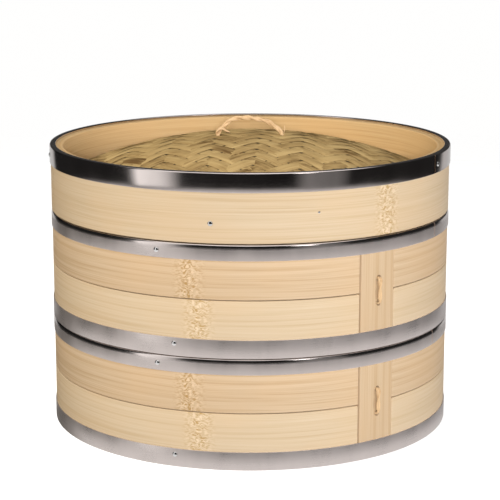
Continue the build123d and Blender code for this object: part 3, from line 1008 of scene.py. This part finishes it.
def lid_handle(base):
    """Twisted rattan loop, a lashing at its left foot and a loose end at its right one."""
    corners = [
        (24.2, 46.4),
        (24.2, 55.0),
        (13.5, 63.2),
        (-1.0, 66.2),
        (-14.0, 65.0),
        (-24.2, 55.4),
        (-24.2, 46.4),
    ]
    outline = rounded(corners, [2.3, 7, 12, 40, 12, 7, 2.3], 6)

    def to_space(x, z, side):
        return Vector((x, side, base + z))

    parts = Parts()
    twisted_loop(parts, outline, 0.9, 1.18, (0.70, 0.70), 7, to_space)
    lashing = [
        (-25.6, 0.4, 53.9),
        (-24.9, -1.4, 55.4),
        (-23.0, -2.5, 57.6),
        (-20.6, -1.9, 58.0),
        (-19.2, 0.6, 56.6),
        (-17.2, 1.2, 55.4),
        (-15.2, 0.6, 54.7),
    ]
    tube(parts, [(x, y, base + z) for x, y, z in lashing], taper(0.95), False, 8, 0.4)
    loose = [(25.4, -0.4, 54.0), (25.9, -0.5, 56.4), (26.0, -0.5, 58.4), (25.8, -0.4, 60.2)]
    tube(parts, [(x, y, base + z) for x, y, z in loose], taper(0.45), False, 6, 0.9)
    obj = make_object("lid_handle_cane", parts, cane, 60)
    settle(obj, "handle", "rattan", "lid_handle")


def taper(size):
    """Strand radius that thins out towards both ends."""
    return lambda t: size * (0.35 + 0.65 * math.sin(math.pi * min(max(t, 0.0), 1.0)) ** 0.4)


# ------------------------------------------------------------------ the object
def finish_nodes(nodes, material):
    """Give carried-over CAD nodes their material."""
    for node in nodes:
        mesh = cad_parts[node].data
        mesh.materials.clear()
        mesh.materials.append(material)


def build_tier(prefix, body, seed):
    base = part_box(prefix + "lower_band")[0].z / MM
    inner_hoop(prefix, body, base)
    low = BAND_SPLIT - SPLIT_GAP / 2
    high = BAND_SPLIT + SPLIT_GAP / 2
    outer_band(prefix, body, base, "lower_band", 0.0, low, 0.5, wood_lower)
    outer_band(prefix, body, base, "upper_band", high, WALL_TOP, 2.0, wood_upper)
    joint_strip(prefix, body, base)
    steel_collar(prefix, body, base, seed)
    steel_base_band(prefix, body, base, seed + 3)
    floor_slats(prefix, body, base, seed)
    rattan_stitch(prefix, body, base)
    # pieces seen only in gaps and holes get the bamboo with painted shade
    finish_nodes([prefix + n for n in ("middle_hoop", "backing_hoop", "floor_ring")], wood_hidden_painted_shade)
    finish_nodes([prefix + "floor_crossbars"], wood_bars)
    finish_nodes([prefix + "floor_nails"], steel_nail)
    for kind, sizes, bearings, radius, height, facing in TIER_NAILS:
        nails(prefix + kind, body, "nail_steel", sizes, bearings, radius, base + height, facing)


def build_lid():
    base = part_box("lid_outer_hoop")[0].z / MM
    lid_wall(base)
    lid_upper_ring(base)
    lid_steel_band(base)
    woven_dome("lid_outer_weave", DOME_R, base, 5)
    woven_dome("lid_inner_weave", DOME_R - WEAVE_T - LEAF_T, base, 8)
    lid_handle(base)
    # the lid's lower ring gets the bamboo with painted shade
    finish_nodes(["lid_lower_ring"], wood_hidden_painted_shade)
    finish_nodes(["lid_leaf_layer"], leaf_lining)
    sizes = (LID_NAIL, LID_BRAD)
    bearings = (LID_NAILS, LID_BRADS)
    heights = (base + LID_NAIL_Z, base + LID_BRAD_Z)
    nails("lid_wall_nails", "lid", "nail_steel", sizes, bearings, LID_WALL_R, heights)
    nails("lid_band_rivets", "lid", "nail_steel", LID_RIVET, LID_RIVETS, LID_R, base + LID_RIVET_Z)


# ------------------------------------------------------------------ studio
def floor_material():
    """Near-white floor that fades out a good way from the object."""
    t = Tree("studio_floor")
    t.shader.inputs["Base Color"].default_value = (0.90, 0.90, 0.90, 1)
    t.shader.inputs["Roughness"].default_value = 0.9
    t.shader.inputs["Emission Color"].default_value = (1, 1, 1, 1)
    t.shader.inputs["Emission Strength"].default_value = FLOOR_GLOW
    place = t.split(t.nodes.new("ShaderNodeTexCoord").outputs["Object"])
    across = t.math("MULTIPLY", place[0], place[0])
    distance = t.math("SQRT", t.math("MULTIPLY_ADD", place[1], place[1], across))
    t.plug(t.remap(distance, 0.45, 1.5, 1.0, 0.0), t.shader.inputs["Alpha"])
    return t.material


def studio_floor():
    bm = bmesh.new()
    bmesh.ops.create_circle(bm, cap_ends=True, segments=96, radius=1.6)
    mesh = bpy.data.meshes.new("studio_floor")
    bm.to_mesh(mesh)
    bm.free()
    mesh.materials.append(floor_material())
    floor = bpy.data.objects.new("studio_floor", mesh)
    bpy.context.scene.collection.objects.link(floor)
    floor.visible_glossy = False
    floor.visible_diffuse = False
    floor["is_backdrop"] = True


def area_light(name, place, target, size, watts, mirrored=False, colour=(1.0, 1.0, 1.0)):
    light = bpy.data.lights.new(name, "AREA")
    light.color = colour
    light.shape = "DISK"
    light.size = size
    light.energy = watts
    lamp = bpy.data.objects.new(name, light)
    lamp.location = place
    lamp.rotation_euler = (Vector(target) - Vector(place)).to_track_quat("-Z", "Y").to_euler()
    lamp.visible_glossy = mirrored
    bpy.context.scene.collection.objects.link(lamp)


def studio_world():
    """Soft white all round; what polished steel mirrors is a darker studio with soft boxes."""
    world = bpy.data.worlds.new("studio")
    bpy.context.scene.world = world
    world.use_nodes = True
    nodes = world.node_tree.nodes
    links = world.node_tree.links
    background = nodes["Background"]

    def calc(operation, a, b=0.0, c=0.0):
        node = nodes.new("ShaderNodeMath")
        node.operation = operation
        for value, socket in zip((a, b, c), node.inputs):
            if isinstance(value, bpy.types.NodeSocket):
                links.new(value, socket)
            else:
                socket.default_value = value
        return node.outputs[0]

    split = nodes.new("ShaderNodeSeparateXYZ")
    links.new(nodes.new("ShaderNodeTexCoord").outputs["Generated"], split.inputs[0])
    x, y, z = split.outputs
    bearing = calc("DEGREES", calc("ARCTAN2", x, calc("MULTIPLY", y, -1.0)))
    height = calc("DEGREES", calc("ARCSINE", z))

    round_about = nodes.new("ShaderNodeValToRGB")
    links.new(calc("MULTIPLY_ADD", bearing, 1 / 360, 0.5), round_about.inputs[0])
    stops = [
        (-180, 0.62), (-153, 0.55), (-146, 0.015), (-70, 0.015), (-65, 1.25), (-48, 0.80),
        (-38, 0.02), (24, 0.01), (32, 0.22), (50, 0.16), (58, 0.015), (136, 0.015),
        (143, 0.50), (180, 0.62),
    ]
    spread(round_about.color_ramp, [((b + 180) / 360, v) for b, v in stops])

    up_and_down = nodes.new("ShaderNodeValToRGB")
    links.new(calc("MULTIPLY_ADD", height, 1 / 180, 0.5), up_and_down.inputs[0])
    levels = [(-90, 0.85), (-19, 0.82), (-14.5, 0.0), (48, 0.0), (56, 1.3), (90, 1.2)]
    spread(up_and_down.color_ramp, [((e + 90) / 180, v) for e, v in levels])

    dim_side = nodes.new("ShaderNodeValToRGB")
    links.new(calc("MULTIPLY_ADD", bearing, 1 / 360, 0.5), dim_side.inputs[0])
    sides = [(-180, 1.0), (-168, 1.0), (-160, 0.10), (-128, 0.10), (-118, 1.0), (180, 1.0)]
    spread(dim_side.color_ramp, [((b + 180) / 360, v) for b, v in sides])

    above = calc("GREATER_THAN", height, -15.0)
    below = calc("LESS_THAN", height, 50.0)
    wall = calc("MULTIPLY", calc("MULTIPLY", above, below), round_about.outputs[0])
    behind = calc("GREATER_THAN", calc("ABSOLUTE", bearing), 138.0)
    dark_back = calc("MULTIPLY", behind, calc("GREATER_THAN", height, 3.0))
    wall = calc("MULTIPLY", wall, calc("MULTIPLY_ADD", dark_back, -0.92, 1.0))
    mirrored = calc("MULTIPLY_ADD", up_and_down.outputs[0], dim_side.outputs[0], wall)
    path = nodes.new("ShaderNodeLightPath")
    glossy = path.outputs["Is Glossy Ray"]
    seen = path.outputs["Is Camera Ray"]
    soft = calc("SUBTRACT", 1.0, calc("ADD", glossy, seen))
    lit = calc("MULTIPLY_ADD", glossy, mirrored, calc("MULTIPLY", soft, SOFT_LIGHT))
    background.inputs["Color"].default_value = (1.0, 0.997, 0.99, 1)
    links.new(calc("ADD", lit, seen), background.inputs["Strength"])


def spread(ramp, stops):
    """Fill a colour ramp with grey levels."""
    ramp.elements[0].position = stops[0][0]
    ramp.elements[0].color = (stops[0][1],) * 3 + (1,)
    ramp.elements[1].position = stops[-1][0]
    ramp.elements[1].color = (stops[-1][1],) * 3 + (1,)
    for position, value in stops[1:-1]:
        ramp.elements.new(position).color = (value,) * 3 + (1,)


def camera():
    """Long lens, a little above the set, level with its front."""
    data = bpy.data.cameras.new("camera")
    data.sensor_width = 36.0
    data.lens = 125.3
    data.clip_end = 50
    cam = bpy.data.objects.new("camera", data)
    cam.location = (0.0, -1.300, 0.405)
    cam.rotation_euler = (math.radians(90 - 12.17), 0, 0)
    bpy.context.scene.collection.objects.link(cam)
    bpy.context.scene.camera = cam


camera()
for seed, (prefix, body) in enumerate(TIERS.items()):
    build_tier(prefix, body, 11 + 40 * seed)
build_lid()
studio_floor()
studio_world()
area_light("key", (1.1, -1.7, 1.5), (0, 0, 0.12), 0.5, 3, mirrored=True)
area_light("front", (0.0, -1.75, 0.49), (0, 0, 0.12), 0.16, 32)
area_light("left", (-1.55, -0.35, 0.85), (0, 0, 0.12), 0.7, 14, colour=(1.0, 0.90, 0.68))
area_light("right", (1.60, -0.50, 0.45), (0, 0, 0.12), 0.7, 17)
area_light("top", (-0.6, 0.3, 2.2), (0, 0, 0), 1.6, 24)
bpy.context.scene.view_settings.view_transform = "Standard"

sizes = {"cad": CAD_BOX, "visual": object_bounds()}
{k: [list(corner) for corner in v] for k, v in sizes.items()}
